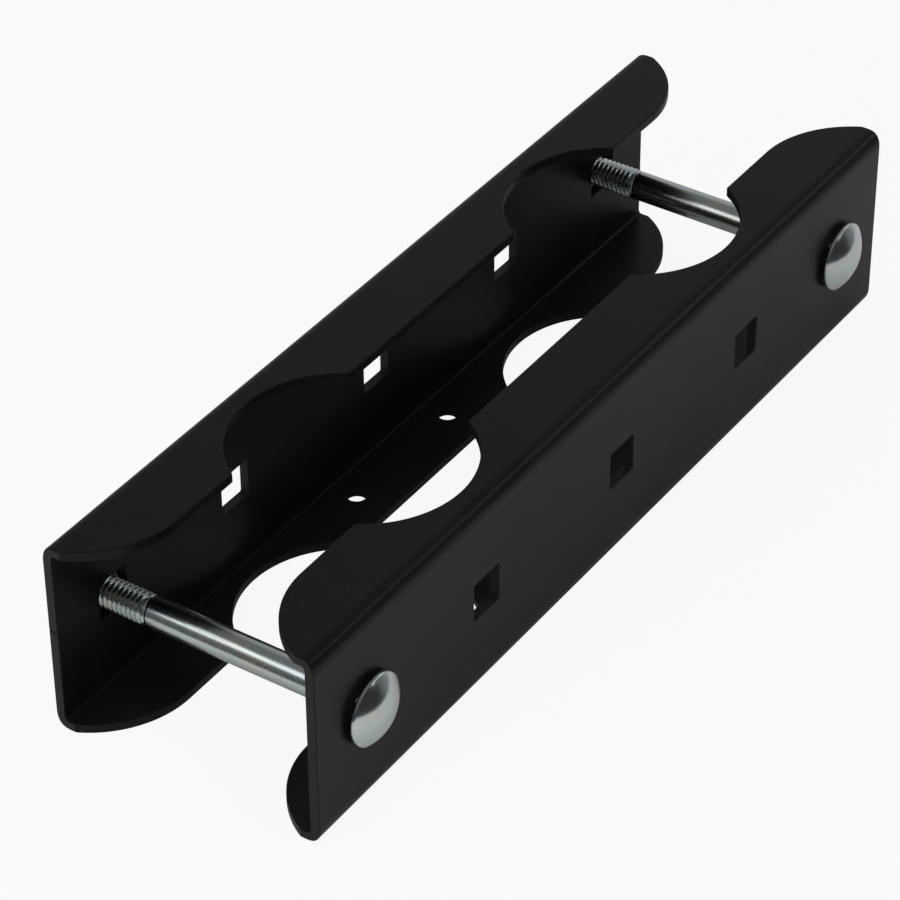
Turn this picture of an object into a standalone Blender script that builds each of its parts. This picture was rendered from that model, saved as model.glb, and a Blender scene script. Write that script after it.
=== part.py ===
"""Two-channel pole clamp of a CPU holder.

Two equal bent-steel channels face each other and are drawn together by two
carriage bolts, one at each end. Each flange has two round cutouts, so that two
upright round poles are gripped between the channels.

Axes: X across the clamp, along the bolts; Y along the channels; Z up.
The origin is the bottom centre of the whole object's bounding box.
"""

import math

import bmesh
import bpy
from mathutils import Vector

# Channels: one pressing, used twice
CHANNEL_LENGTH = 0.300
CHANNEL_HEIGHT = 0.063
FLANGE_DEPTH = 0.024          # from the web's outer face to the flange's free edge
SHEET = 0.003
BEND_RADIUS = 0.004           # on the outside of the bend
CLAMP_WIDTH = 0.088           # between the outer faces of the two webs

# Holes and cutouts, all placed from the middle of the channel's length
CUTTER_RADIUS = 0.03175       # one radius for the pole cutouts and the end corners
POLE_OFFSET = 0.070           # along Y, also the place of the outer free square holes
POLE_DEPTH = 0.040            # from the web's outer face to the cutout's centre
CORNER_RUN = 0.0285           # length along Y that each end corner takes off the flange
BOLT_OFFSET = 0.126           # along Y
SQUARE_HOLE = 0.0124
SCREW_HOLE_RADIUS = 0.00325
SCREW_HOLE_OFFSET = 0.024     # along Y, in the lower flange only

# Carriage bolt, 3/8 inch with a coarse thread of 16 turns to the inch
PITCH = 0.0015875
CREST_RADIUS = 0.00475
ROOT_RADIUS = 0.00385
SHANK_RADIUS = 0.00455
THREAD_TURNS = 19
NECK_WIDTH = 0.0096
NECK_LENGTH = 0.0055
HEAD_RADIUS = 0.0109
RIM_HEIGHT = 0.0011
DOME_HEIGHT = 0.0041
HEAD_STAND_OFF = 0.0011       # the head's underside stands this far off the web
NEAR_BOLT_DROP = 0.0004       # the bolts sit loosely, this far below the middle of their holes
FAR_BOLT_DROP = 0.0001
BOLT_LENGTH = 0.1016          # under the head

# Washer and nut behind the rear web
WASHER_RADIUS = 0.0127
WASHER_BORE_RADIUS = 0.0056
WASHER_THICKNESS = 0.0020
NUT_ACROSS_FLATS = 0.01429
NUT_THICKNESS = 0.0083
NUT_BORE_RADIUS = 0.0050
TOUCH_GAP = 0.0003            # kept between pieces that rest on each other

# Segments of the round shapes
BOLT_SIDES = 24
NUT_SIDES = 36
CUTOUT_SIDES = 96
BEND_STEPS = 6

# Sizes that follow from the ones above
HOLE_HEIGHT = CHANNEL_HEIGHT / 2
HEAD_REACH = HEAD_STAND_OFF + RIM_HEIGHT + DOME_HEIGHT
TIP_REACH = BOLT_LENGTH - HEAD_STAND_OFF - CLAMP_WIDTH
FRONT_FACE_X = CLAMP_WIDTH / 2 + (TIP_REACH - HEAD_REACH) / 2
REAR_FACE_X = FRONT_FACE_X - CLAMP_WIDTH
OVERSHOOT = 0.005             # how far a cutter runs past the faces it cuts


def clear_scene():
    for old in list(bpy.data.objects):
        bpy.data.objects.remove(old, do_unlink=True)


def make_material(name, color, roughness, metallic):
    material = bpy.data.materials.new(name)
    material.use_nodes = True
    shader = material.node_tree.nodes["Principled BSDF"]
    shader.inputs["Base Color"].default_value = (*color, 1.0)
    shader.inputs["Roughness"].default_value = roughness
    shader.inputs["Metallic"].default_value = metallic
    material.diffuse_color = (*color, 1.0)
    return material


def finish_mesh(bm, name):
    bmesh.ops.recalc_face_normals(bm, faces=bm.faces)
    mesh = bpy.data.meshes.new(name)
    bm.to_mesh(mesh)
    bm.free()
    return mesh


def add_object(name, mesh, location, parent=None, turn=0.0):
    piece = bpy.data.objects.new(name, mesh)
    bpy.context.collection.objects.link(piece)
    piece.location = location
    piece.rotation_euler = (0.0, 0.0, turn)
    piece.parent = parent
    return piece


def surface(mesh, material):
    """Gives a finished mesh its material and its shading, smooth but for real edges."""
    mesh.materials.clear()
    mesh.materials.append(material)
    mesh.shade_smooth()
    mesh.set_sharp_from_angle(angle=math.radians(30))
    return mesh


def add_empty(name, location):
    empty = bpy.data.objects.new(name, None)
    bpy.context.collection.objects.link(empty)
    empty.location = location
    return empty


# Outlines and closed prisms

def arc(center, radius, start, end, steps):
    """Points of a circular arc from start to end, angles in degrees."""
    points = []
    for step in range(steps + 1):
        angle = math.radians(start + (end - start) * step / steps)
        points.append((center[0] + radius * math.cos(angle), center[1] + radius * math.sin(angle)))
    return points


def add_prism(bm, outline, direction, base):
    """Adds a closed prism: the outline's points mapped by base, swept along direction."""
    vertices = [bm.verts.new(base(point)) for point in outline]
    face = bm.faces.new(vertices)
    swept = bmesh.ops.extrude_face_region(bm, geom=[face])["geom"]
    moved = [item for item in swept if isinstance(item, bmesh.types.BMVert)]
    bmesh.ops.translate(bm, verts=moved, vec=direction)


def add_upright_prism(bm, outline, low, high):
    """Adds a prism that stands along Z, with its outline in X and Y."""
    add_prism(bm, outline, Vector((0, 0, high - low)), lambda p: (p[0], p[1], low))


# The channel. Its own frame has the web's outer face at x = 0 and the flanges at -X.

def channel_section():
    """The bent sheet's outline in X and Z, the outer surface first."""
    top = CHANNEL_HEIGHT
    outer = BEND_RADIUS
    inner = BEND_RADIUS - SHEET
    outline = [(-FLANGE_DEPTH, 0.0)]
    outline += arc((-outer, outer), outer, 270, 360, BEND_STEPS)
    outline += arc((-outer, top - outer), outer, 0, 90, BEND_STEPS)
    outline += [(-FLANGE_DEPTH, top), (-FLANGE_DEPTH, top - SHEET)]
    outline += arc((-outer, top - outer), inner, 90, 0, BEND_STEPS)
    outline += arc((-outer, outer), inner, 360, 270, BEND_STEPS)
    outline += [(-FLANGE_DEPTH, SHEET)]
    return outline


def channel_mesh():
    bm = bmesh.new()
    length = Vector((0, CHANNEL_LENGTH, 0))
    add_prism(bm, channel_section(), length, lambda p: (p[0], -CHANNEL_LENGTH / 2, p[1]))
    return finish_mesh(bm, "channel")


def end_corner_outline(end):
    """What the rounded end corner takes off a flange; end is -1 or +1 along Y."""
    center_x = -FLANGE_DEPTH + CUTTER_RADIUS
    center_y = CHANNEL_LENGTH / 2 - CORNER_RUN
    finish = 180.0 - math.degrees(math.asin(CORNER_RUN / CUTTER_RADIUS))
    outline = arc((center_x, center_y), CUTTER_RADIUS, 180.0, finish, 18)
    past_end = CHANNEL_LENGTH / 2 + OVERSHOOT
    past_edge = -FLANGE_DEPTH - OVERSHOOT
    outline += [(outline[-1][0], past_end), (past_edge, past_end), (past_edge, center_y)]
    return [(x, end * y) for x, y in outline]


def circle(center, radius, sides):
    return arc(center, radius, 0, 360, sides)[:-1]


def cutting_tool_mesh():
    """Every hole and cutout of one channel, as closed bodies clear of each other."""
    bm = bmesh.new()
    low = -OVERSHOOT
    high = CHANNEL_HEIGHT + OVERSHOOT
    for side in (-1, 1):
        pole = (-POLE_DEPTH, side * POLE_OFFSET)
        add_upright_prism(bm, circle(pole, CUTTER_RADIUS, CUTOUT_SIDES), low, high)
        add_upright_prism(bm, end_corner_outline(side), low, high)
        screw = (-FLANGE_DEPTH / 2, side * SCREW_HOLE_OFFSET)
        add_upright_prism(bm, circle(screw, SCREW_HOLE_RADIUS, 24), low, SHEET + OVERSHOOT)
    half = SQUARE_HOLE / 2
    for place in (-BOLT_OFFSET, -POLE_OFFSET, 0.0, POLE_OFFSET, BOLT_OFFSET):
        square = [(place - half, HOLE_HEIGHT - half), (place + half, HOLE_HEIGHT - half),
                  (place + half, HOLE_HEIGHT + half), (place - half, HOLE_HEIGHT + half)]
        through = Vector((SHEET + 2 * OVERSHOOT, 0, 0))
        add_prism(bm, square, through, lambda p: (-SHEET - OVERSHOOT, p[0], p[1]))
    return finish_mesh(bm, "cutting_tool")


def cut_channel_mesh():
    """The channel with its holes and cutouts, for both channels to share."""
    blank = add_object("channel_blank", channel_mesh(), (0, 0, 0))
    tool = add_object("channel_cutter", cutting_tool_mesh(), (0, 0, 0))
    tool.hide_render = True
    tool.display_type = "WIRE"
    cut = blank.modifiers.new("holes and cutouts", "BOOLEAN")
    cut.operation = "DIFFERENCE"
    cut.solver = "EXACT"
    cut.object = tool
    depsgraph = bpy.context.evaluated_depsgraph_get()
    mesh = bpy.data.meshes.new_from_object(blank.evaluated_get(depsgraph))
    mesh.name = "cut_channel"
    bpy.data.objects.remove(blank)
    bpy.data.objects.remove(tool)
    return mesh


# Turned and lofted pieces: rings of points around the X axis, joined one to the next

def round_ring(x, radius, sides):
    steps = [2 * math.pi * side / sides for side in range(sides)]
    return [(x, radius * math.cos(angle), radius * math.sin(angle)) for angle in steps]


def square_ring(x, width, sides):
    ring = []
    for side in range(sides):
        angle = 2 * math.pi * side / sides
        reach = width / 2 / max(abs(math.cos(angle)), abs(math.sin(angle)))
        ring.append((x, reach * math.cos(angle), reach * math.sin(angle)))
    return ring


def join_rings(bm, first, second):
    for side in range(len(first)):
        after = (side + 1) % len(first)
        bm.faces.new((first[side], first[after], second[after], second[side]))


def loft(bm, rings, closed=False, start=None):
    """Joins the rings in order and returns the vertices of the last one."""
    rows = [[bm.verts.new(point) for point in ring] for ring in rings]
    if start is not None:
        rows.insert(0, start)
    for first, second in zip(rows, rows[1:]):
        join_rings(bm, first, second)
    if closed:
        join_rings(bm, rows[-1], rows[0])
    return rows[-1]


def thread_radius(along, wave):
    """Radius at a distance from the tip; wave is 0 in the root and 1 on the crest."""
    radius = ROOT_RADIUS + (CREST_RADIUS - ROOT_RADIUS) * wave
    chamfer = ROOT_RADIUS - 0.0003 + along
    left = THREAD_TURNS * PITCH - along
    blend = min(1.0, left / PITCH)
    return min(chamfer, SHANK_RADIUS + (radius - SHANK_RADIUS) * blend)


def add_thread(bm, tip_x):
    """A right-hand V thread from the tip. Returns the ring where it meets the shank.

    Row and side give a point on the helix: two rows, root and crest, for each turn.
    Points before the tip or past the end slide onto the flat end rings and merge.
    """
    end = THREAD_TURNS * PITCH
    rows = 2 * (THREAD_TURNS + 4) + 1
    grid = []
    for row in range(rows):
        line = []
        for side in range(BOLT_SIDES):
            along = (row / 2 + side / BOLT_SIDES - 2) * PITCH
            along = min(max(along, 0.0), end)
            radius = thread_radius(along, row % 2)
            angle = 2 * math.pi * side / BOLT_SIDES
            point = (tip_x + along, radius * math.cos(angle), radius * math.sin(angle))
            line.append(bm.verts.new(point))
        grid.append(line)
    for row in range(rows - 1):
        for side in range(BOLT_SIDES - 1):
            bm.faces.new((grid[row][side], grid[row][side + 1],
                          grid[row + 1][side + 1], grid[row + 1][side]))
    for row in range(rows - 3):
        bm.faces.new((grid[row][-1], grid[row + 2][0], grid[row + 3][0], grid[row + 1][-1]))
    bmesh.ops.remove_doubles(bm, verts=bm.verts, dist=1e-6)
    bm.verts.ensure_lookup_table()
    return ring_at(bm, tip_x), ring_at(bm, tip_x + end)


def ring_at(bm, x):
    """The vertices in the plane at x, in order around the axis."""
    ring = [vertex for vertex in bm.verts if abs(vertex.co.x - x) < 1e-6]
    return sorted(ring, key=lambda vertex: math.atan2(vertex.co.z, vertex.co.y) % (2 * math.pi))


def carriage_bolt_mesh():
    """The bolt along X, its tip at -X; x = 0 is the underside of the head."""
    bm = bmesh.new()
    tip_ring, shank_start = add_thread(bm, -BOLT_LENGTH)
    bm.faces.new(tip_ring)
    rings = [
        round_ring(-NECK_LENGTH, SHANK_RADIUS, BOLT_SIDES),
        square_ring(-NECK_LENGTH, NECK_WIDTH, BOLT_SIDES),
        square_ring(0.0, NECK_WIDTH, BOLT_SIDES),
        round_ring(0.0, HEAD_RADIUS - 0.0005, BOLT_SIDES),
        round_ring(RIM_HEIGHT / 2, HEAD_RADIUS, BOLT_SIDES),
        round_ring(RIM_HEIGHT, HEAD_RADIUS, BOLT_SIDES),
    ]
    sphere = (HEAD_RADIUS ** 2 + DOME_HEIGHT ** 2) / (2 * DOME_HEIGHT)
    widest = math.asin(HEAD_RADIUS / sphere)
    for step in range(1, 7):
        angle = widest * (1 - step / 7)
        height = RIM_HEIGHT + DOME_HEIGHT - sphere * (1 - math.cos(angle))
        rings.append(round_ring(height, sphere * math.sin(angle), BOLT_SIDES))
    last = loft(bm, rings, start=shank_start)
    crown = bm.verts.new((RIM_HEIGHT + DOME_HEIGHT, 0, 0))
    for side in range(BOLT_SIDES):
        bm.faces.new((last[side], last[(side + 1) % BOLT_SIDES], crown))
    return finish_mesh(bm, "carriage_bolt")


def washer_mesh():
    """A flat washer with softened outer edges, from x = 0 to -WASHER_THICKNESS."""
    edge = 0.0003
    bm = bmesh.new()
    rings = [
        round_ring(0.0, WASHER_BORE_RADIUS, NUT_SIDES),
        round_ring(0.0, WASHER_RADIUS - edge, NUT_SIDES),
        round_ring(-edge, WASHER_RADIUS, NUT_SIDES),
        round_ring(edge - WASHER_THICKNESS, WASHER_RADIUS, NUT_SIDES),
        round_ring(-WASHER_THICKNESS, WASHER_RADIUS - edge, NUT_SIDES),
        round_ring(-WASHER_THICKNESS, WASHER_BORE_RADIUS, NUT_SIDES),
    ]
    loft(bm, rings, closed=True)
    return finish_mesh(bm, "washer")


def hex_ring(face_x, inward, washer_face):
    """The edge where the hexagon's flats meet the 30 degree chamfer near one face."""
    ring = []
    for side in range(NUT_SIDES):
        angle = 2 * math.pi * side / NUT_SIDES
        from_flat = (angle + math.pi / 6) % (math.pi / 3) - math.pi / 6
        reach = NUT_ACROSS_FLATS / 2 / math.cos(from_flat)
        depth = (reach - washer_face) * math.tan(math.radians(30))
        ring.append((face_x + inward * depth, reach * math.cos(angle), reach * math.sin(angle)))
    return ring


def hex_nut_mesh():
    """A chamfered hex nut from x = 0 to -NUT_THICKNESS."""
    washer_face = 0.97 * NUT_ACROSS_FLATS / 2
    lead = 0.0004
    far = -NUT_THICKNESS
    bm = bmesh.new()
    rings = [
        round_ring(0.0, washer_face, NUT_SIDES),
        hex_ring(0.0, -1, washer_face),
        hex_ring(far, 1, washer_face),
        round_ring(far, washer_face, NUT_SIDES),
        round_ring(far, NUT_BORE_RADIUS + lead, NUT_SIDES),
        round_ring(far + lead, NUT_BORE_RADIUS, NUT_SIDES),
        round_ring(-lead, NUT_BORE_RADIUS, NUT_SIDES),
        round_ring(0.0, NUT_BORE_RADIUS + lead, NUT_SIDES),
    ]
    loft(bm, rings, closed=True)
    return finish_mesh(bm, "hex_nut")


def build():
    clear_scene()
    powder_coat = make_material("black_powder_coat", (0.022, 0.022, 0.023), 0.45, 0.0)
    bolt_zinc = make_material("bolt_zinc_plate", (0.62, 0.64, 0.64), 0.28, 1.0)
    washer_zinc = make_material("washer_zinc_plate", (0.60, 0.62, 0.63), 0.34, 1.0)
    nut_zinc = make_material("nut_zinc_plate", (0.58, 0.60, 0.62), 0.32, 1.0)
    channel = surface(cut_channel_mesh(), powder_coat)
    bolt = surface(carriage_bolt_mesh(), bolt_zinc)
    washer = surface(washer_mesh(), washer_zinc)
    nut = surface(hex_nut_mesh(), nut_zinc)

    front_jaw = add_empty("front_jaw", (FRONT_FACE_X, 0, 0))
    rear_jaw = add_empty("rear_jaw", (REAR_FACE_X, 0, 0))
    add_object("front_channel", channel, (0, 0, 0), front_jaw)
    add_object("rear_channel", channel, (0, 0, 0), rear_jaw, turn=math.pi)
    washer_x = -TOUCH_GAP
    nut_x = washer_x - WASHER_THICKNESS - TOUCH_GAP
    for place, side, drop in (("near", -1, NEAR_BOLT_DROP), ("far", 1, FAR_BOLT_DROP)):
        y = side * BOLT_OFFSET
        z = HOLE_HEIGHT - drop
        add_object(place + "_carriage_bolt", bolt, (HEAD_STAND_OFF, y, z), front_jaw)
        add_object(place + "_washer", washer, (washer_x, y, z), rear_jaw)
        add_object(place + "_hex_nut", nut, (nut_x, y, z), rear_jaw)


build()
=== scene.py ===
"""Looks for the two-channel pole clamp: powder-coated channels and zinc-plated fasteners.

Every piece is rebuilt finer than its CAD solid, in the same place, and rides on the same body.
Metres; X across the clamp along the bolts, Y along the channels, Z up.
"""

import math

import bmesh
import bpy
from mathutils import Matrix, Quaternion, Vector, noise


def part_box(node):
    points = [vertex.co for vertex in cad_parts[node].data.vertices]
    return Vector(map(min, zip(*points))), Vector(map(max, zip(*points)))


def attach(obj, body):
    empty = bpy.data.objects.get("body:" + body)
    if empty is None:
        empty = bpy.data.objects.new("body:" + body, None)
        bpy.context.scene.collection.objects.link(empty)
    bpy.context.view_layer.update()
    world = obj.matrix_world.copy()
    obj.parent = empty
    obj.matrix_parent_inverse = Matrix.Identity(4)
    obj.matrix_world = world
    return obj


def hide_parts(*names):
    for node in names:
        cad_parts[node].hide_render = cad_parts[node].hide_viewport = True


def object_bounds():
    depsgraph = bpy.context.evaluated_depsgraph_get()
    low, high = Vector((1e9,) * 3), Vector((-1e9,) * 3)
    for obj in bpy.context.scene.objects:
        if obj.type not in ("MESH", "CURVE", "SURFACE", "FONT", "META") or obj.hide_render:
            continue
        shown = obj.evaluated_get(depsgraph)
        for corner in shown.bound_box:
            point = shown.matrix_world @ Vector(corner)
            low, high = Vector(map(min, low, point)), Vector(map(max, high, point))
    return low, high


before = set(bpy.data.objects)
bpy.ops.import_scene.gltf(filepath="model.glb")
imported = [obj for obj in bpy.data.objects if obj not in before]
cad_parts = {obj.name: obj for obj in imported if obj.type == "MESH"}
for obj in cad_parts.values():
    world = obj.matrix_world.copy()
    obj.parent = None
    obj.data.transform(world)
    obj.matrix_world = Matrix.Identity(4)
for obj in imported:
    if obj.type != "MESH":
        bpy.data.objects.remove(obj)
cad_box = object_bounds()

# The channel's pressing
SHEET = 0.003
BEND_RADIUS = 0.004
CUTTER_RADIUS = 0.03175       # pole cutouts and end corners
POLE_OFFSET = 0.070
POLE_DEPTH = 0.040            # from the web's outer face to the cutout's centre
CORNER_RUN = 0.0285
BOLT_OFFSET = 0.126
SQUARE_HOLE = 0.0124
SQUARE_HOLE_CORNER = 0.0005
SCREW_HOLE_RADIUS = 0.0031    # inside the coating
SCREW_HOLE_OFFSET = 0.024

# How far the channel's edges are rounded
OUTER_SOFT = 0.0005           # the outer face, rolled over by the shear at cut edges
INNER_SOFT = 0.0002           # the inner face, where only the coating rounds the edge
LEAST_SOFT = 0.00003
HOLE_SOFT = 0.00012
CORNER_EASE = 0.0007          # the point between a cutout and the free edge

# A pressed bend starts this many radii from its corner, and is pulled this far toward it
FLANGE_EASE = 1.10
WEB_EASE = 1.45
BEND_PULL = 0.68

# The nick in the end edge of the rear channel's web
NICK_HALF_MOUTH = 0.000784    # half its height at the edge
NICK_HALF_BOTTOM = 0.000084
NICK_DEPTH = 0.0006
NICK_ABOVE_MIDDLE = 0.0022
NICK_DROP = 0.0005            # from the outer face to the inner
NICK_ROWS = ((0.0006, 0.0), (-0.0012, 0.45), (-0.0022, 0.7), (-0.0036, 1.0))  # (x, share of drop)

# How far a cutter reaches past the face that it cuts
HOLE_OVERSHOOT = 0.0008
NICK_OVERSHOOT = 0.0004

# The bolt, 3/8 inch with 16 turns to the inch
PITCH = 0.0015875
CREST_RADIUS = 0.00475
ROOT_RADIUS = 0.0038
SHANK_RADIUS = 0.00455
THREAD_TURNS = 19
RUN_OUT_TURNS = 2.2           # the last turns, which fade onto the shank
BOLT_LENGTH = 0.1016
THREAD_END = THREAD_TURNS * PITCH - BOLT_LENGTH
TIP_CHAMFER = 0.0003
TIP_DISH = 0.00013
NECK_WIDTH = 0.0096
NECK_LENGTH = 0.0055
NECK_BLEND = 0.0006           # from the shank's round to the neck's square
SHANK_MARGIN = 0.0002         # from the last ring of the shank to that blend
SHANK_END = -NECK_LENGTH - NECK_BLEND - SHANK_MARGIN
HEAD_RADIUS = 0.0109
RIM_HEIGHT = 0.0011
RIM_ROUND = 0.00045
DOME_HEIGHT = 0.0041

# How uneven the bolt's surfaces are, and the scale of it per metre
SHANK_WAVE = 0.000006
SHANK_WAVE_SCALE = 160
DOME_WAVE = 0.000012
DOME_WAVE_SCALE = 330

# Washer and nut
WASHER_BORE_RADIUS = 0.0056
WASHER_ROLLED = 0.0005        # rounds its edges on the web's side
WASHER_CRISP = 0.00012        # cuts its edges on the nut's side
NUT_CHAMFER = math.radians(30)
NUT_FACE = 0.97               # diameter of its flat end faces, as a share of its width
NUT_CORNER = 1.135            # its radius at the rounded corners, as a share of half its width
NUT_CORNER_EASE = 0.035
NUT_SOFT = 0.00012
NUT_LEAD_RADIUS = 0.0051      # of the countersink at each end of the nut's thread
NUT_LEAD_SLOPE = 1.2
NUT_CREST_GAP = 0.00022       # from the bolt's roots to the nut's crests
THREAD_CLEARANCE = 0.00016

# Segments
BEND_STEPS = 14
SOFT_STEPS = 4
CUTOUT_STEPS = 32
POINT_STEPS = 9               # extra stations on each side of a cutout's points
POINT_SPACING = 0.00006
HOLE_CORNER_STEPS = 5
SCREW_HOLE_SIDES = 48
SHANK_STEPS = 28
ROUND_SIDES = 96
NUT_SIDES = 144

MERGE_DISTANCE = 1e-7


# ---------------------------------------------------------------- mesh helpers

def arc(center, radius, start, end, steps):
    """Points of an arc from start to end, angles in degrees."""
    points = []
    for step in range(steps + 1):
        angle = math.radians(start + (end - start) * step / steps)
        points.append((center[0] + radius * math.cos(angle), center[1] + radius * math.sin(angle)))
    return points


def eased_bend(corner, flange_way, web_way, radius, steps):
    """A bend from the flange to the web that eases in and out of its curve, as a pressed
    one does. The ways point from the sharp corner along the flange and along the web."""
    points = []
    for step in range(steps + 1):
        t = step / steps
        near_web = t ** 3 + 3 * t * t * (1 - t) * (1 - BEND_PULL)
        near_flange = (1 - t) ** 3 + 3 * t * (1 - t) ** 2 * (1 - BEND_PULL)
        points.append((corner[0] + flange_way * FLANGE_EASE * radius * near_flange,
                       corner[1] + web_way * WEB_EASE * radius * near_web))
    return points


def rounded_edge(angles, radius):
    """(sunk, inward) of points round an edge: how far below the face and in from the wall."""
    points = []
    for angle in angles:
        turn = math.radians(angle)
        points.append((radius * (1 - math.cos(turn)), radius * (1 - math.sin(turn))))
    return points


def join_rings(bm, first, second):
    """Four-sided faces between two closed rings with as many vertices."""
    for side in range(len(first)):
        after = (side + 1) % len(first)
        bm.faces.new((first[side], first[after], second[after], second[side]))


def loft(bm, rings, start=None, closed=False):
    """Joins rings of points in order. Returns the rings' vertices."""
    rows = [[bm.verts.new(point) for point in ring] for ring in rings]
    if start is not None:
        rows.insert(0, start)
    for first, second in zip(rows, rows[1:]):
        join_rings(bm, first, second)
    if closed:
        join_rings(bm, rows[-1], rows[0])
    return rows


def capped_loft(bm, rings):
    """A loft with a flat face on its first ring and its last."""
    rows = loft(bm, rings)
    bm.faces.new(rows[0])
    bm.faces.new(rows[-1])


def round_ring(x, radius, sides=ROUND_SIDES):
    """A ring around the X axis; radius is a number or a function of the angle."""
    ring = []
    for side in range(sides):
        angle = 2 * math.pi * side / sides
        reach = radius(angle) if callable(radius) else radius
        ring.append((x, reach * math.cos(angle), reach * math.sin(angle)))
    return ring


def close_with_point(bm, ring, point):
    """A fan of triangles from a ring to one point."""
    crown = bm.verts.new(point)
    for side in range(len(ring)):
        bm.faces.new((ring[side], ring[(side + 1) % len(ring)], crown))


def finish_mesh(bm, name):
    """Turns the faces outward and makes the mesh."""
    bmesh.ops.recalc_face_normals(bm, faces=bm.faces)
    mesh = bpy.data.meshes.new(name)
    bm.to_mesh(mesh)
    bm.free()
    return mesh


def smooth_min(a, b, ease):
    """The smaller of two values, blended where they differ by less than ease."""
    gap = max(ease - abs(a - b), 0.0) / ease
    return min(a, b) - gap * gap * ease / 4


def shade(mesh, material, sharp_angle):
    """Smooth shading in one material, but sharp where faces meet at more than the angle."""
    mesh.materials.clear()
    mesh.materials.append(material)
    mesh.shade_smooth()
    mesh.set_sharp_from_angle(angle=math.radians(sharp_angle))


def on_axis(x, low, high):
    """The point at x on the X axis through the middle of a box."""
    return (x, (low.y + high.y) / 2, (low.z + high.z) / 2)


def add_piece(name, mesh, location, node, body, turn=0.0):
    """Puts a mesh in the scene in place of a CAD node, riding on a body."""
    piece = bpy.data.objects.new(name, mesh)
    bpy.context.scene.collection.objects.link(piece)
    piece.location = location
    piece.rotation_euler = (0.0, 0.0, turn)
    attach(piece, body)
    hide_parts(node)
    return piece


# ---------------------------------------------------------------- channels

class Channel:
    """The outline of one channel, sized from its CAD box. Its own frame has the web's outer
    face at x = 0, the flanges at -X, and y = 0 at the middle of its length."""

    def __init__(self, low, high):
        self.flange = high.x - low.x
        self.length = high.y - low.y
        self.height = high.z - low.z

    def depth(self, y):
        """How far the flanges reach from the web's outer face at this place."""
        reach = self.flange
        off = min(abs(y - POLE_OFFSET), abs(y + POLE_OFFSET))
        if off < CUTTER_RADIUS:
            cutout = POLE_DEPTH - math.sqrt(CUTTER_RADIUS ** 2 - off ** 2)
            reach = smooth_min(reach, cutout, CORNER_EASE)
        run = CORNER_RUN - (self.length / 2 - abs(y))
        if run > 0:
            corner = self.flange - CUTTER_RADIUS + math.sqrt(CUTTER_RADIUS ** 2 - run ** 2)
            reach = min(reach, corner)
        return reach

    def stations(self):
        """Places along Y for the half from the middle to the far end."""
        limit = self.length / 2 - OUTER_SOFT
        places = {0.0, limit}
        half_chord = math.sqrt(CUTTER_RADIUS ** 2 - (POLE_DEPTH - self.flange) ** 2)
        widest = math.asin(half_chord / CUTTER_RADIUS)
        for step in range(-CUTOUT_STEPS, CUTOUT_STEPS + 1):
            places.add(POLE_OFFSET + CUTTER_RADIUS * math.sin(widest * step / CUTOUT_STEPS))
        for side in (-1, 1):
            for step in range(-POINT_STEPS, POINT_STEPS + 1):
                places.add(POLE_OFFSET + side * (half_chord + POINT_SPACING * step))
        widest = math.asin(CORNER_RUN / CUTTER_RADIUS)
        tangent = self.length / 2 - CORNER_RUN
        for step in range(CUTOUT_STEPS + 1):
            places.add(tangent + CUTTER_RADIUS * math.sin(widest * step / CUTOUT_STEPS))
        return sorted(place for place in places if place <= limit)

    def section(self, y, inset, inner_inset):
        """The sheet's closed cross-section at y, its outer and inner faces drawn in."""
        edge = -self.depth(y) + inner_inset
        soft = max(OUTER_SOFT - inset, LEAST_SOFT)
        inner_soft = max(INNER_SOFT - inner_inset, LEAST_SOFT)
        outer = BEND_RADIUS - inset
        inner = BEND_RADIUS - SHEET + inner_inset
        top, inner_top = self.height - inset, self.height - SHEET + inner_inset
        skin, inner_skin = -inset, inner_inset - SHEET
        inner_bottom = SHEET - inner_inset
        loop = arc((edge + soft, inset + soft), soft, 180, 270, SOFT_STEPS)
        loop += eased_bend((skin, inset), -1, 1, outer, BEND_STEPS)
        loop += eased_bend((skin, top), -1, -1, outer, BEND_STEPS)[::-1]
        loop += arc((edge + soft, top - soft), soft, 90, 180, SOFT_STEPS)
        inner_edge = edge + inner_soft
        loop += arc((inner_edge, inner_top + inner_soft), inner_soft, 180, 270, SOFT_STEPS)
        loop += eased_bend((inner_skin, inner_top), -1, -1, inner, BEND_STEPS)
        loop += eased_bend((inner_skin, inner_bottom), -1, 1, inner, BEND_STEPS)[::-1]
        loop += arc((inner_edge, inner_bottom - inner_soft), inner_soft, 90, 180, SOFT_STEPS)
        return [(x, y, z) for x, z in loop]

    def rings(self):
        """Cross-sections from end to end, drawn in at both ends to round the cut edges."""
        half = [(place, 0.0, 0.0) for place in self.stations()]
        for step in range(1, SOFT_STEPS + 2):
            angle = math.radians(90 * step / (SOFT_STEPS + 1))
            place = self.length / 2 - OUTER_SOFT * (1 - math.sin(angle))
            sunk = 1 - math.cos(angle)
            half.append((place, OUTER_SOFT * sunk, INNER_SOFT * sunk))
        both = [(-place, outer, inner) for place, outer, inner in reversed(half[1:])] + half
        return [self.section(*station) for station in both]

    def blank(self):
        """The pressing before its holes are punched."""
        bm = bmesh.new()
        capped_loft(bm, self.rings())
        return finish_mesh(bm, "channel_blank")


def square_outline(grow):
    """A rounded square for a hole in the web, grown by an amount on every side."""
    half = SQUARE_HOLE / 2 + grow
    radius = SQUARE_HOLE_CORNER + grow
    outline = []
    for quarter, (across, up) in enumerate(((1, 1), (-1, 1), (-1, -1), (1, -1))):
        center = (across * (half - radius), up * (half - radius))
        outline += arc(center, radius, 90 * quarter, 90 * quarter + 90, HOLE_CORNER_STEPS)
    return outline


def circle_outline(grow):
    """A round screw hole, grown by an amount all round."""
    return arc((0, 0), SCREW_HOLE_RADIUS + grow, 0, 360, SCREW_HOLE_SIDES)[:-1]


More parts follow.
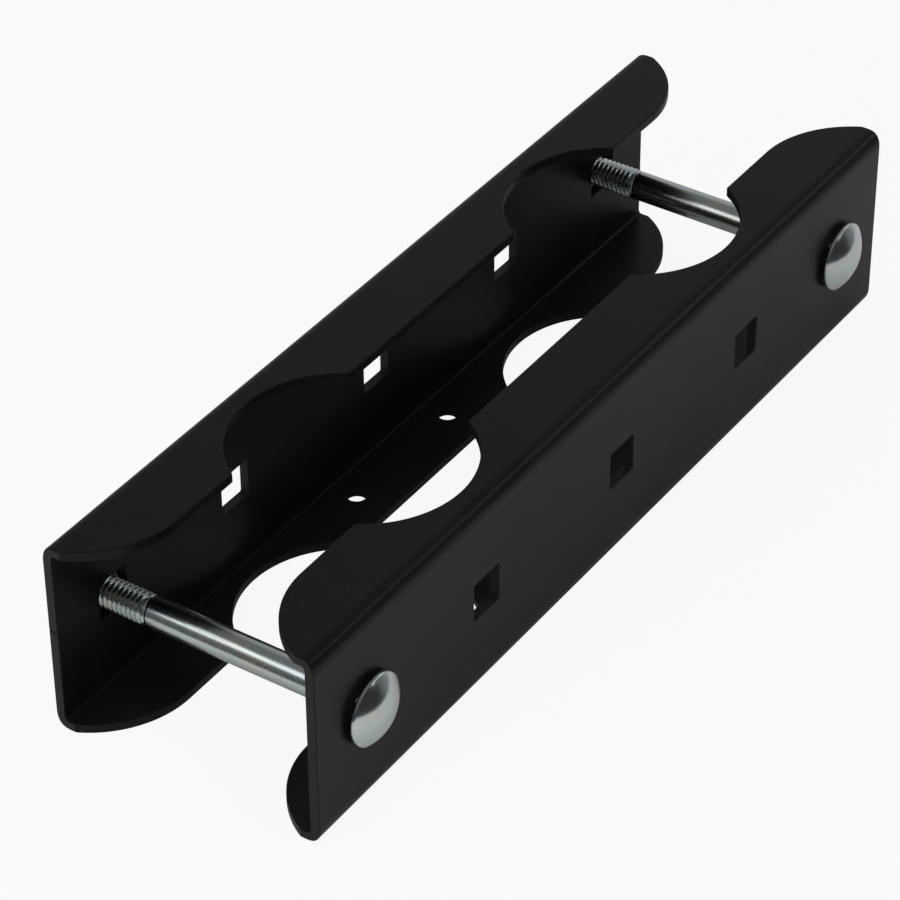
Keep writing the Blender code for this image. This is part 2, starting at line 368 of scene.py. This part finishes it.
def hole_profile(outer_soft):
    """(depth into the sheet, growth) from the outer face to the inner: a softened edge at each."""
    angles = (12, 32, 52, 71, 90)
    profile = [(-HOLE_OVERSHOOT, outer_soft)]
    profile += rounded_edge(angles, outer_soft)
    profile += [(SHEET - sunk, grow) for sunk, grow in rounded_edge(angles[::-1], HOLE_SOFT)]
    return profile + [(SHEET + HOLE_OVERSHOOT, HOLE_SOFT)]


def add_hole_cutter(bm, outline, place, outer_soft):
    """One closed cutter; place maps (depth, across, along) into the channel's frame."""
    capped_loft(bm, [[place(depth, a, b) for a, b in outline(grow)]
                     for depth, grow in hole_profile(outer_soft)])


def hole_cutters(channel):
    """Cutters for the web's square holes and the lower flange's screw holes."""
    bm = bmesh.new()
    for offset in (-BOLT_OFFSET, -POLE_OFFSET, 0.0, POLE_OFFSET, BOLT_OFFSET):
        add_hole_cutter(bm, square_outline,
                        lambda d, a, b: (-d, offset + a, channel.height / 2 + b), OUTER_SOFT / 2)
    for side in (-1, 1):
        add_hole_cutter(bm, circle_outline,
                        lambda d, a, b: (a - channel.flange / 2, side * SCREW_HOLE_OFFSET + b, d),
                        HOLE_SOFT)
    return finish_mesh(bm, "hole_cutters")


def nick_cutter(channel):
    """A small slanting nick in one end edge of the web, knocked in before coating."""
    bm = bmesh.new()
    mouth = channel.length / 2 + NICK_OVERSHOOT
    bottom = channel.length / 2 - NICK_DEPTH
    rings = []
    for x, share in NICK_ROWS:
        z = channel.height / 2 + NICK_ABOVE_MIDDLE - NICK_DROP * share
        rings.append([(x, mouth, z + NICK_HALF_MOUTH), (x, bottom, z + NICK_HALF_BOTTOM),
                      (x, bottom, z - NICK_HALF_BOTTOM), (x, mouth, z - NICK_HALF_MOUTH)])
    capped_loft(bm, rings)
    return finish_mesh(bm, "nick_cutter")


def cut(mesh, cutter_mesh, name):
    """The mesh less the cutter, as a new mesh."""
    blank = bpy.data.objects.new("blank", mesh)
    cutter = bpy.data.objects.new("cutter", cutter_mesh)
    for helper in (blank, cutter):
        bpy.context.scene.collection.objects.link(helper)
    modifier = blank.modifiers.new("cut", "BOOLEAN")
    modifier.operation = "DIFFERENCE"
    modifier.solver = "EXACT"
    modifier.object = cutter
    depsgraph = bpy.context.evaluated_depsgraph_get()
    result = bpy.data.meshes.new_from_object(blank.evaluated_get(depsgraph))
    result.name = name
    for helper in (blank, cutter):
        bpy.data.objects.remove(helper)
    return result


def weight_normals(piece):
    """Keeps the flats flat where they meet softened edges."""
    modifier = piece.modifiers.new("weighted normals", "WEIGHTED_NORMAL")
    modifier.mode = "FACE_AREA"
    modifier.weight = 100
    modifier.keep_sharp = True


def mark_cut_edges_and_painted_light(mesh, channel):
    """Notes the faces left by the shear and the punch in the web, where the coat is painted paler:
    partly a thinner coat there, partly painted light that brightens these end and hole faces.
    """
    marks = mesh.attributes.new("cut_edge_painted_light", "FLOAT", "FACE")
    for face in mesh.polygons:
        center, normal = face.center, face.normal
        in_web = SHEET < center.z < channel.height - SHEET
        by_holes = abs(center.z - channel.height / 2) < SQUARE_HOLE
        faces_end = abs(normal.y) > 0.3
        faces_up_or_down = abs(normal.z) > 0.4
        # Partly painted light: only the web's faces that look along the channel, and the holes'
        # upper and lower walls, get the paler colour
        if in_web and (faces_end or (by_holes and faces_up_or_down)):
            marks.data[face.index].value = 1.0


def build_channels(coat):
    """The two channels: one pressing, with the rear one turned round to face the front."""
    low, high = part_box("front_channel")
    channel = Channel(low, high)
    front_mesh = cut(channel.blank(), hole_cutters(channel), "front_channel_coated")
    rear_mesh = cut(front_mesh, nick_cutter(channel), "rear_channel_coated")
    for mesh in (front_mesh, rear_mesh):
        shade(mesh, coat, sharp_angle=40)
        mark_cut_edges_and_painted_light(mesh, channel)
    middle = (low.y + high.y) / 2
    front = add_piece("front_channel_coated", front_mesh, (high.x, middle, low.z),
                      "front_channel", "front_jaw")
    rear_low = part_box("rear_channel")[0]
    rear = add_piece("rear_channel_coated", rear_mesh, (rear_low.x, middle, rear_low.z),
                     "rear_channel", "rear_jaw", turn=math.pi)
    for piece in (front, rear):
        weight_normals(piece)


# ---------------------------------------------------------------- bolts

# How the thread's radius goes from root (0) to crest (1) over one turn, rounded at both
THREAD_ROWS = ((0.0, 0.0), (0.035, 0.025), (0.075, 0.12), (0.36, 0.84), (0.41, 0.945),
               (0.455, 0.985), (0.5, 1.0), (0.545, 0.985), (0.59, 0.945), (0.64, 0.84),
               (0.925, 0.12), (0.965, 0.025))

# The cropped tip, from its rim inward: (depth of the dish, how far inside the root's radius)
TIP_ROWS = ((0.0, 0.0006), (0.00004, 0.0012), (0.0001, 0.0024))

# The square neck, from the shank to the head: (x, added width, squareness)
NECK_ROWS = ((-NECK_LENGTH - 0.0002, -0.0003, 3), (-NECK_LENGTH, -0.0001, 8),
             (-NECK_LENGTH + 0.0004, 0.0, 14), (-0.0006, 0.0, 14),
             (-0.0002, 0.0003, 10), (0.0, 0.0009, 7))

# Rings of the dome, from the rim (1) to the crown (0)
DOME_SHARES = (0.985, 0.965, 0.94, 0.91, 0.87, 0.82, 0.76, 0.69, 0.61, 0.53, 0.45, 0.37, 0.29,
               0.21, 0.13, 0.06)


def helix_grid(bm, turns, radius_at, sides):
    """A right-hand helical skin from x = 0 to turns * PITCH.

    radius_at(along, wave) gives the radius. The rows begin two turns early and end two turns
    late. Their points before the start or past the end slide onto the end rings and merge
    there, so those rings' radius must not depend on wave.
    """
    length = turns * PITCH
    per_turn = len(THREAD_ROWS)
    rows = per_turn * (math.ceil(turns) + 4) + 1
    grid = []
    for row in range(rows):
        turn, step = divmod(row, per_turn)
        share, wave = THREAD_ROWS[step]
        line = []
        for side in range(sides):
            along = min(max((turn + share + side / sides - 2) * PITCH, 0.0), length)
            angle = 2 * math.pi * side / sides
            radius = radius_at(along, wave)
            line.append(bm.verts.new((along, radius * math.cos(angle), radius * math.sin(angle))))
        grid.append(line)
    for row in range(rows - 1):
        for side in range(sides - 1):
            bm.faces.new((grid[row][side], grid[row][side + 1],
                          grid[row + 1][side + 1], grid[row + 1][side]))
    for row in range(rows - per_turn - 1):
        bm.faces.new((grid[row][-1], grid[row + per_turn][0],
                      grid[row + per_turn + 1][0], grid[row + 1][-1]))
    bmesh.ops.remove_doubles(bm, verts=bm.verts, dist=MERGE_DISTANCE)


def ring_at(bm, x):
    """The vertices at x, in order round the X axis."""
    ring = [vertex for vertex in bm.verts if abs(vertex.co.x - x) < MERGE_DISTANCE]
    return sorted(ring, key=lambda vertex: math.atan2(vertex.co.z, vertex.co.y) % (2 * math.pi))


def bolt_thread_radius(along, wave):
    """The rolled thread: a chamfered start at the tip and a run-out onto the shank."""
    radius = ROOT_RADIUS + (CREST_RADIUS - ROOT_RADIUS) * wave
    chamfer = ROOT_RADIUS - TIP_CHAMFER + along
    left = min(1.0, (THREAD_TURNS * PITCH - along) / (RUN_OUT_TURNS * PITCH))
    fade = left * left * (3 - 2 * left)
    return min(chamfer, SHANK_RADIUS + (radius - SHANK_RADIUS) * fade)


def squared(width, squareness):
    """Radius function of a square whose corners are rounder for a lower squareness."""
    def reach(angle):
        power = abs(math.cos(angle)) ** squareness + abs(math.sin(angle)) ** squareness
        return width / 2 / power ** (1 / squareness)
    return reach


def dome_point(share, angle, seed):
    """A point of the head's dome: share is 1 at the rim and 0 at the crown."""
    sphere = (HEAD_RADIUS ** 2 + DOME_HEIGHT ** 2) / (2 * DOME_HEIGHT)
    tilt = math.asin(HEAD_RADIUS / sphere) * share
    across = sphere * math.sin(tilt)
    height = DOME_HEIGHT - sphere * (1 - math.cos(tilt))
    y, z = across * math.cos(angle), across * math.sin(angle)
    wave = noise.noise(Vector((y * DOME_WAVE_SCALE, z * DOME_WAVE_SCALE, seed)))
    fade = 1.0 - 0.8 * share ** 4
    return (RIM_HEIGHT + height + DOME_WAVE * wave * fade, y, z)


def dome_ring(share, seed):
    """A ring of the dome's points round the X axis."""
    return [dome_point(share, 2 * math.pi * side / ROUND_SIDES, seed)
            for side in range(ROUND_SIDES)]


def add_tip(bm):
    """The cropped end: a softened rim round a faintly dished face."""
    face = [round_ring(-BOLT_LENGTH + dish, ROOT_RADIUS - inside) for dish, inside in TIP_ROWS]
    rows = loft(bm, face, start=ring_at(bm, -BOLT_LENGTH))
    close_with_point(bm, rows[-1], (-BOLT_LENGTH + TIP_DISH, 0, 0))


def add_shank(bm, seed):
    """The plain shank, in short lengths so that its faint waviness shows."""
    rings = []
    for step in range(1, SHANK_STEPS):
        x = THREAD_END + (SHANK_END - THREAD_END) * step / SHANK_STEPS
        wave = noise.noise(Vector((x * SHANK_WAVE_SCALE, seed, 0.0)))
        rings.append(round_ring(x, SHANK_RADIUS + SHANK_WAVE * wave))
    rings.append(round_ring(SHANK_END, SHANK_RADIUS))
    return loft(bm, rings, start=ring_at(bm, THREAD_END))[-1]


def add_head(bm, shank_end, seed):
    """Square neck, underside, rolled rim and dome, from the end of the shank."""
    rings = [round_ring(-NECK_LENGTH - NECK_BLEND, SHANK_RADIUS)]
    for x, added, squareness in NECK_ROWS:
        rings.append(round_ring(x, squared(NECK_WIDTH + added, squareness)))
    rings.append(round_ring(0.0, HEAD_RADIUS - 2 * RIM_ROUND))
    for x, y in arc((RIM_ROUND, HEAD_RADIUS - RIM_ROUND), RIM_ROUND, 165, 65, 4):
        rings.append(round_ring(x, y))
    rings += [dome_ring(share, seed) for share in DOME_SHARES]
    rows = loft(bm, rings, start=shank_end)
    close_with_point(bm, rows[-1], dome_point(0.0, 0.0, seed))


def bolt_mesh(seed):
    """The bolt along X, its tip at -X; x = 0 is the underside of the head."""
    bm = bmesh.new()
    helix_grid(bm, THREAD_TURNS, bolt_thread_radius, ROUND_SIDES)
    bmesh.ops.translate(bm, verts=bm.verts, vec=(-BOLT_LENGTH, 0, 0))
    add_tip(bm)
    shank_end = add_shank(bm, seed)
    add_head(bm, shank_end, seed)
    return finish_mesh(bm, "carriage_bolt_plated")


def build_bolts(zinc):
    """A bolt at each end, its head against the front web; the seed gives its unevenness."""
    for place, seed in (("near", 3.0), ("far", 11.0)):
        node = place + "_carriage_bolt"
        low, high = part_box(node)
        mesh = bolt_mesh(seed)
        shade(mesh, zinc, sharp_angle=50)
        underside = on_axis(high.x - RIM_HEIGHT - DOME_HEIGHT, low, high)
        add_piece(node + "_plated", mesh, underside, node, "front_jaw")


# ---------------------------------------------------------------- washers and nuts

def washer_mesh(radius, thickness):
    """A stamped washer from x = 0 to -thickness, its edges rolled over at x = 0 and crisper
    at the other face."""
    bm = bmesh.new()
    bore, crisp = WASHER_BORE_RADIUS, WASHER_CRISP
    angles = (20, 45, 70, 90)
    profile = [(0.0, bore + WASHER_ROLLED), (0.0, radius - WASHER_ROLLED)]
    profile += [(-sunk, radius - inward) for sunk, inward in rounded_edge(angles, WASHER_ROLLED)]
    profile += [(-thickness + crisp, radius), (-thickness, radius - crisp)]
    profile += [(-thickness, bore + crisp), (-thickness + crisp, bore)]
    profile += [(-sunk, bore + inward) for sunk, inward in rounded_edge(angles[::-1], WASHER_ROLLED)]
    loft(bm, [round_ring(x, r, NUT_SIDES) for x, r in profile], closed=True)
    return finish_mesh(bm, "washer_plated")


def nut_thread_radius(thickness):
    """The nut's thread follows the bolt's with a clearance, countersunk at each end."""
    def radius_at(along, wave):
        bolt = ROOT_RADIUS + (CREST_RADIUS - ROOT_RADIUS) * wave
        thread = max(bolt + THREAD_CLEARANCE, ROOT_RADIUS + NUT_CREST_GAP)
        to_face = min(along, thickness - along)
        return max(thread, NUT_LEAD_RADIUS - NUT_LEAD_SLOPE * to_face)
    return radius_at


def hex_reach(across_flats):
    """Radius function of a hexagon whose corners are a little rounded."""
    def reach(angle):
        from_flat = (angle + math.pi / 6) % (math.pi / 3) - math.pi / 6
        full = across_flats / 2 / math.cos(from_flat)
        return smooth_min(full, NUT_CORNER * across_flats / 2, NUT_CORNER_EASE * across_flats)
    return reach


def hex_edge(face_x, inward, across_flats, face_radius):
    """The curve where the chamfer meets the flats, near one face."""
    reach = hex_reach(across_flats)
    ring = []
    for side in range(NUT_SIDES):
        angle = 2 * math.pi * side / NUT_SIDES
        radius = reach(angle)
        drop = max(radius - face_radius, 0.0) * math.tan(NUT_CHAMFER)
        ring.append((face_x + inward * drop, radius * math.cos(angle), radius * math.sin(angle)))
    return ring


def nut_end(face_x, inward, across_flats):
    """Rings from the thread's countersink out over one face and onto the flats."""
    face_radius = NUT_FACE * across_flats / 2
    edge = hex_edge(face_x, inward, across_flats, face_radius)
    return [round_ring(face_x, NUT_LEAD_RADIUS + NUT_SOFT, NUT_SIDES),
            round_ring(face_x, face_radius, NUT_SIDES),
            edge,
            [(x + inward * 2 * NUT_SOFT, y, z) for x, y, z in edge]]


def nut_mesh(across_flats, thickness, phase):
    """A chamfered hex nut from x = 0 to -thickness; phase sets where its thread starts."""
    bm = bmesh.new()
    helix_grid(bm, thickness / PITCH, nut_thread_radius(thickness), NUT_SIDES)
    bmesh.ops.rotate(bm, verts=bm.verts, cent=(0, 0, 0), matrix=Matrix.Rotation(phase, 3, "X"))
    bmesh.ops.translate(bm, verts=bm.verts, vec=(-thickness, 0, 0))
    outer_end, inner_end = ring_at(bm, -thickness), ring_at(bm, 0.0)
    rings = nut_end(0.0, -1, across_flats)
    rings.append(round_ring(-thickness / 2, hex_reach(across_flats), NUT_SIDES))
    rings += reversed(nut_end(-thickness, 1, across_flats))
    rows = loft(bm, rings, start=inner_end)
    join_rings(bm, rows[-1], outer_end)
    return finish_mesh(bm, "hex_nut_plated")


def build_washers_and_nuts(washer_zinc, nut_zinc):
    """A washer and a nut on each bolt, against the rear web."""
    for place in ("near", "far"):
        node = place + "_washer"
        low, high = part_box(node)
        mesh = washer_mesh((high.z - low.z) / 2, high.x - low.x)
        shade(mesh, washer_zinc, sharp_angle=40)
        add_piece(node + "_plated", mesh, on_axis(high.x, low, high), node, "rear_jaw")
        node = place + "_hex_nut"
        low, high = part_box(node)
        # The nut's thread is the bolt's own helix, met at the nut's outer face
        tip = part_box(place + "_carriage_bolt")[0].x
        phase = -2 * math.pi * ((tip - low.x) / PITCH % 1.0)
        mesh = nut_mesh(high.y - low.y, high.x - low.x, phase)
        shade(mesh, nut_zinc, sharp_angle=32)
        add_piece(node + "_plated", mesh, on_axis(high.x, low, high), node, place + "_nut")


# ---------------------------------------------------------------- materials

# The powder coat's two casts, its specks and its paler cut edges, whose paleness is partly painted
# light
COAT_DARK = (0.0050, 0.0049, 0.0045, 1)
COAT_LIGHT = (0.0062, 0.0061, 0.0056, 1)
COAT_SPECK = (0.03, 0.03, 0.028, 1)
COAT_CUT_EDGE_PAINTED_LIGHT = (0.0108, 0.0106, 0.0101, 1)

# What the passivate's casts multiply the zinc's colour by
GREEN_CAST = (0.92, 1.02, 0.96)
BLUE_CAST = (0.92, 1.0, 1.07)
WARM_CAST = (1.06, 0.99, 0.90)

ZINC_RELIEF = 0.00003         # height of the pits and the drawn lines


class Nodes:
    """A short way to write a node tree; most methods add one node and return its output."""

    def __init__(self, tree):
        self.tree = tree

    def add(self, kind, settings=None, **inputs):
        """Adds a node. Inputs are numbers or tuples, or sockets to link from, each given
        under the input's name, or as _0, _1 and so on under its place in the list."""
        node = self.tree.nodes.new(kind)
        for name, value in (settings or {}).items():
            setattr(node, name, value)
        for name, value in inputs.items():
            socket = node.inputs[int(name[1:])] if name[1:].isdigit() else node.inputs[name]
            if isinstance(value, bpy.types.NodeSocket):
                self.tree.links.new(value, socket)
            else:
                socket.default_value = value
        return node

    def noise(self, vector, scale, detail, roughness):
        node = self.add("ShaderNodeTexNoise", Vector=vector, Scale=scale, Detail=detail,
                        Roughness=roughness)
        return node.outputs["Fac"]

    def stretch(self, vector, scale):
        node = self.add("ShaderNodeMapping", Vector=vector, Scale=scale)
        return node.outputs["Vector"]

    def remap(self, value, low, high, to_low, to_high):
        """Eases from to_low to to_high as the value goes from low to high, and holds beyond."""
        node = self.add("ShaderNodeMapRange", {"interpolation_type": "SMOOTHSTEP"}, _0=value,
                        _1=low, _2=high, _3=to_low, _4=to_high)
        return node.outputs["Result"]

    def math(self, operation, first, second):
        node = self.add("ShaderNodeMath", {"operation": operation}, _0=first, _1=second)
        return node.outputs["Value"]

    def mix(self, factor, first, second):
        node = self.add("ShaderNodeMix", {"data_type": "RGBA"}, _0=factor, _6=first, _7=second)
        return node.outputs[2]

    def bump(self, height, strength, distance, normal=None):
        node = self.add("ShaderNodeBump", Height=height, Strength=strength, Distance=distance)
        if normal is not None:
            self.tree.links.new(normal, node.inputs["Normal"])
        return node.outputs["Normal"]

    def finish_surface(self, base, gloss, normal):
        """Links the surface's colour, roughness and normal to its shader."""
        shader = self.tree.nodes["Principled BSDF"]
        self.tree.links.new(base, shader.inputs["Base Color"])
        self.tree.links.new(gloss, shader.inputs["Roughness"])
        self.tree.links.new(normal, shader.inputs["Normal"])


def new_material(name):
    """A node material, with its shader, its tree and the place on the object."""
    material = bpy.data.materials.new(name)
    material.use_nodes = True
    shader = material.node_tree.nodes["Principled BSDF"]
    nodes = Nodes(material.node_tree)
    place = nodes.add("ShaderNodeTexCoord").outputs["Object"]
    return material, shader, nodes, place


def powder_coat():
    """Satin black powder coat: fine grain, faint orange peel, slightly uneven gloss."""
    material, shader, nodes, place = new_material("black_powder_coat")
    patches = nodes.noise(place, scale=38.0, detail=3.0, roughness=0.55)
    grain = nodes.noise(place, scale=3800.0, detail=2.0, roughness=0.6)
    peel = nodes.noise(place, scale=900.0, detail=2.0, roughness=0.45)
    specks = nodes.noise(place, scale=1500.0, detail=1.0, roughness=0.5)
    speck = nodes.remap(specks, 0.66, 0.78, 0.0, 1.0)
    base = nodes.mix(nodes.remap(patches, 0.3, 0.7, 0.0, 1.0), COAT_DARK, COAT_LIGHT)
    base = nodes.mix(nodes.math("MULTIPLY", speck, 0.35), base, COAT_SPECK)
    cut_edge_painted_light = nodes.add("ShaderNodeAttribute", {"attribute_name": "cut_edge_painted_light"}).outputs["Fac"]
    worn_and_painted_light = nodes.math("MULTIPLY", cut_edge_painted_light, nodes.remap(grain, 0.3, 0.7, 0.75, 1.0))
    # Partly painted light: the web's cut faces take a paler colour, partly for a thinner coat,
    # partly standing in for light falling on these end and hole faces
    base = nodes.mix(worn_and_painted_light, base, COAT_CUT_EDGE_PAINTED_LIGHT)
    gloss = nodes.math("ADD", nodes.remap(patches, 0.25, 0.75, 0.31, 0.37),
                       nodes.remap(grain, 0.2, 0.8, -0.04, 0.04))
    normal = nodes.bump(peel, strength=0.25, distance=0.00006)
    normal = nodes.bump(grain, strength=0.60, distance=0.00002, normal=normal)
    nodes.finish_surface(base, gloss, normal)
    shader.inputs["Specular IOR Level"].default_value = 0.12
    return material


def calmed(nodes, place, value, calm_ends):
    """A value that falls to a share of itself along X: for each (calm, lively, share) in
    calm_ends it is that share at calm and beyond, and whole at lively and beyond."""
    for calm, lively, share in calm_ends:
        along = nodes.add("ShaderNodeSeparateXYZ", Vector=place).outputs["X"]
        value = nodes.math("MULTIPLY", value, nodes.remap(along, calm, lively, share, 1.0))
    return value


def tinted(color, cast):
    """A colour multiplied by a cast, with its alpha."""
    return tuple(level * factor for level, factor in zip(color, cast)) + (1,)


def zinc_plate(name, streaks, roughness, color, quiet=(), polished=()):
    """Bright zinc with a clear passivate: cool and warm casts, fine pits and streaks.

    The surface relief is calmed along X as quiet says, and the roughness as polished says.
    """
    material, shader, nodes, place = new_material(name)
    cast = nodes.noise(place, scale=130.0, detail=2.0, roughness=0.5)
    warmth = nodes.noise(nodes.stretch(place, (0.6, 1.0, 1.0)), scale=210.0, detail=1.0,
                         roughness=0.5)
    pits = nodes.noise(place, scale=3400.0, detail=3.0, roughness=0.6)
    lines = nodes.noise(nodes.stretch(place, streaks), scale=1.0, detail=3.0, roughness=0.6)
    base = nodes.mix(nodes.remap(cast, 0.38, 0.62, 0.0, 1.0),
                     tinted(color, GREEN_CAST), tinted(color, BLUE_CAST))
    base = nodes.mix(nodes.remap(warmth, 0.48, 0.70, 0.0, 0.85), base, tinted(color, WARM_CAST))
    gloss = nodes.math("ADD", nodes.remap(lines, 0.3, 0.7, roughness - 0.05, roughness + 0.06),
                       nodes.remap(pits, 0.5, 0.8, 0.0, 0.08))
    gloss = calmed(nodes, place, gloss, polished)
    normal = nodes.bump(lines, calmed(nodes, place, 0.28, quiet), ZINC_RELIEF)
    normal = nodes.bump(pits, calmed(nodes, place, 0.34, quiet), ZINC_RELIEF, normal)
    nodes.finish_surface(base, gloss, normal)
    shader.inputs["Metallic"].default_value = 1.0
    return material


def bolt_zinc_plate():
    """Zinc for the bolts: its relief is calmer on the thread and on the head, and the head
    is glossier."""
    return zinc_plate("bolt_zinc_plate", streaks=(60.0, 2200.0, 2200.0), roughness=0.235,
                      color=(0.56, 0.58, 0.57),
                      quiet=((THREAD_END - 0.002, THREAD_END + 0.001, 0.12),
                             (0.001, -0.001, 0.2)),
                      polished=((0.0015, 0.0005, 0.65),))


def washer_zinc_plate():
    return zinc_plate("washer_zinc_plate", streaks=(400.0, 700.0, 700.0), roughness=0.30,
                      color=(0.50, 0.52, 0.52))


def nut_zinc_plate():
    return zinc_plate("nut_zinc_plate", streaks=(500.0, 900.0, 900.0), roughness=0.28,
                      color=(0.48, 0.50, 0.50))


# ---------------------------------------------------------------- studio

GROUND_GAP = 0.0002           # from the object down to the floor, and from that to the table
GROUND = cad_box[0].z - GROUND_GAP
TABLE_LOW = (-0.6, -0.30)
TABLE_HIGH = (0.195, 0.6)
FLOOR_REACH = 6.0

# Softboxes: name, direction from the object, distance, width, height, radiance, in reflections
SOFTBOXES = (
    ("left_softbox", (-0.42, -0.62, 0.68), 1.25, 0.38, 0.50, 1.65, True),
    ("right_softbox", (0.62, 0.60, 0.48), 1.25, 1.10, 0.26, 1.6, True),
    ("overhead_softbox", (0.25, -0.12, 0.97), 1.30, 0.80, 0.80, 3.05, False),
    ("front_softbox", (0.15, -0.94, 0.30), 1.25, 0.80, 0.60, 7.2, False),
    ("back_softbox", (-0.98, 0.05, 0.06), 1.25, 1.20, 0.60, 9.0, False),
)
SOFTBOX_AIM = Vector((0, 0, 0.03))

# Glows of the world: direction, the cosines of the angles from it at which a glow starts
# and is full, strength
WORLD_GLOWS = (
    ((-0.25, 0.94, 0.08), 0.55, 0.97, 0.37),
    ((-0.4, -0.1, 0.9), -0.1, 0.9, 0.16),
    ((0.35, 0.93, 0.0), 0.72, 0.95, 0.18),
)
WORLD_LEVEL = 0.045
WORLD_TABLE_LEVEL = 0.02      # added below the horizon
BACKDROP = (0.93, 0.93, 0.93, 1)

# The camera, fitted to the photograph
CAMERA_SENSOR = 36.0          # millimetres
CAMERA_LENS = 148.41          # millimetres
CAMERA_AZIMUTH = math.radians(34.01)
CAMERA_ELEVATION = math.radians(37.05)
CAMERA_ROLL = math.radians(-0.457)
CAMERA_AIM = Vector((-0.0035, -0.0124, 0.0227))
CAMERA_DISTANCE = 1.0754


def plain_surface(name, tone, glow):
    """A matt surface that may also glow; returns the material and its shader."""
    material = bpy.data.materials.new(name)
    material.use_nodes = True
    shader = material.node_tree.nodes["Principled BSDF"]
    shader.inputs["Base Color"].default_value = (tone, tone, tone, 1)
    shader.inputs["Roughness"].default_value = 0.9
    shader.inputs["Specular IOR Level"].default_value = 0.0
    shader.inputs["Emission Color"].default_value = (1, 1, 1, 1)
    shader.inputs["Emission Strength"].default_value = glow
    return material, shader


def table_with_painted_shade():
    """White, with painted shade that darkens it close round the object, standing in for the object's
    own shadow on it.
    """
    material, shader = plain_surface("white_table_painted_shade", tone=0.8, glow=0.0)
    nodes = Nodes(material.node_tree)
    place = nodes.add("ShaderNodeTexCoord").outputs["Object"]
    # Painted shade: the table's tone falls from 0.80 to 0.42 close round the object, in place of its
    # shadow
    mapped = nodes.add("ShaderNodeMapping", Vector=place, Location=(0.0, -0.07, 0.0),
                       Scale=(10.0, 3.5, 0.0)).outputs["Vector"]
    reach = nodes.add("ShaderNodeVectorMath", {"operation": "LENGTH"}, _0=mapped)
    tone = nodes.remap(reach.outputs["Value"], 0.25, 1.05, 0.42, 0.80)
    material.node_tree.links.new(tone, shader.inputs["Base Color"])
    return material


def add_sheet(name, low, high, z, material):
    """A flat four-sided sheet lying at height z."""
    bm = bmesh.new()
    corners = ((low[0], low[1]), (high[0], low[1]), (high[0], high[1]), (low[0], high[1]))
    bm.faces.new([bm.verts.new((x, y, z)) for x, y in corners])
    sheet = bpy.data.objects.new(name, finish_mesh(bm, name))
    bpy.context.scene.collection.objects.link(sheet)
    sheet.data.materials.append(material)
    return sheet


def add_floor():
    """A white table with painted shade close round the object, which lights and shades it, and
    over that a pale floor that only the camera sees, glowing so that the shadows on it stay light."""
    table = add_sheet("table", TABLE_LOW, TABLE_HIGH, GROUND - GROUND_GAP, table_with_painted_shade())
    table.visible_camera = False
    floor = add_sheet("floor", (-FLOOR_REACH, -FLOOR_REACH), (FLOOR_REACH, FLOOR_REACH), GROUND,
                      plain_surface("pale_floor", tone=0.06, glow=0.90)[0])
    for rays in ("diffuse", "glossy", "transmission", "shadow"):
        setattr(floor, "visible_" + rays, False)


def add_softbox(name, direction, distance, width, height, radiance, in_reflections):
    """A rectangular softbox that faces the object; radiance is how bright its face is."""
    light = bpy.data.lights.new(name, "AREA")
    light.shape = "RECTANGLE"
    light.size = width
    light.size_y = height
    light.energy = radiance * math.pi * width * height
    box = bpy.data.objects.new(name, light)
    bpy.context.scene.collection.objects.link(box)
    toward = Vector(direction).normalized()
    box.location = SOFTBOX_AIM + toward * distance
    box.rotation_mode = "QUATERNION"
    box.rotation_quaternion = toward.to_track_quat("Z", "Y")
    box.visible_camera = False
    box.visible_glossy = in_reflections


def add_surroundings():
    """A dim studio: brighter beyond the far end and overhead, dark to the right, and a little
    lighter below the horizon. The camera sees a pale backdrop instead."""
    world = bpy.data.worlds.new("studio")
    bpy.context.scene.world = world
    world.use_nodes = True
    nodes = Nodes(world.node_tree)
    direction = nodes.add("ShaderNodeTexCoord").outputs["Generated"]
    sky = WORLD_LEVEL
    for toward, start, full, strength in WORLD_GLOWS:
        cosine = nodes.add("ShaderNodeVectorMath", {"operation": "DOT_PRODUCT"}, _0=direction,
                           _1=tuple(Vector(toward).normalized())).outputs["Value"]
        sky = nodes.math("ADD", nodes.remap(cosine, start, full, 0.0, strength), sky)
    below = nodes.math("ADD", sky, WORLD_TABLE_LEVEL)
    up = nodes.add("ShaderNodeSeparateXYZ", Vector=direction).outputs["Z"]
    horizon = nodes.remap(up, -0.26, -0.20, 0.0, 1.0)
    level = nodes.add("ShaderNodeMix", {"data_type": "FLOAT"}, _0=horizon, _2=below, _3=sky)
    studio = nodes.add("ShaderNodeBackground", Color=(1, 1, 1, 1), Strength=level.outputs[0])
    backdrop = nodes.add("ShaderNodeBackground", Color=BACKDROP, Strength=1.0)
    seen = nodes.add("ShaderNodeLightPath").outputs["Is Camera Ray"]
    both = nodes.add("ShaderNodeMixShader", _0=seen, _1=studio.outputs[0], _2=backdrop.outputs[0])
    world.node_tree.links.new(both.outputs[0], world.node_tree.nodes["World Output"].inputs[0])


def add_camera():
    """The camera at the photograph's viewing angle."""
    camera = bpy.data.objects.new("camera", bpy.data.cameras.new("camera"))
    bpy.context.scene.collection.objects.link(camera)
    camera.data.sensor_width = CAMERA_SENSOR
    camera.data.lens = CAMERA_LENS
    back = Vector((math.sin(CAMERA_AZIMUTH) * math.cos(CAMERA_ELEVATION),
                   -math.cos(CAMERA_AZIMUTH) * math.cos(CAMERA_ELEVATION),
                   math.sin(CAMERA_ELEVATION)))
    camera.location = CAMERA_AIM + back * CAMERA_DISTANCE
    camera.rotation_mode = "QUATERNION"
    look = (-back).to_track_quat("-Z", "Y")
    camera.rotation_quaternion = look @ Quaternion((0, 0, 1), CAMERA_ROLL)
    bpy.context.scene.camera = camera


def build():
    build_channels(powder_coat())
    build_bolts(bolt_zinc_plate())
    build_washers_and_nuts(washer_zinc_plate(), nut_zinc_plate())
    add_floor()
    add_surroundings()
    for softbox in SOFTBOXES:
        add_softbox(*softbox)
    add_camera()
    bpy.context.scene.view_settings.view_transform = "Standard"


build()
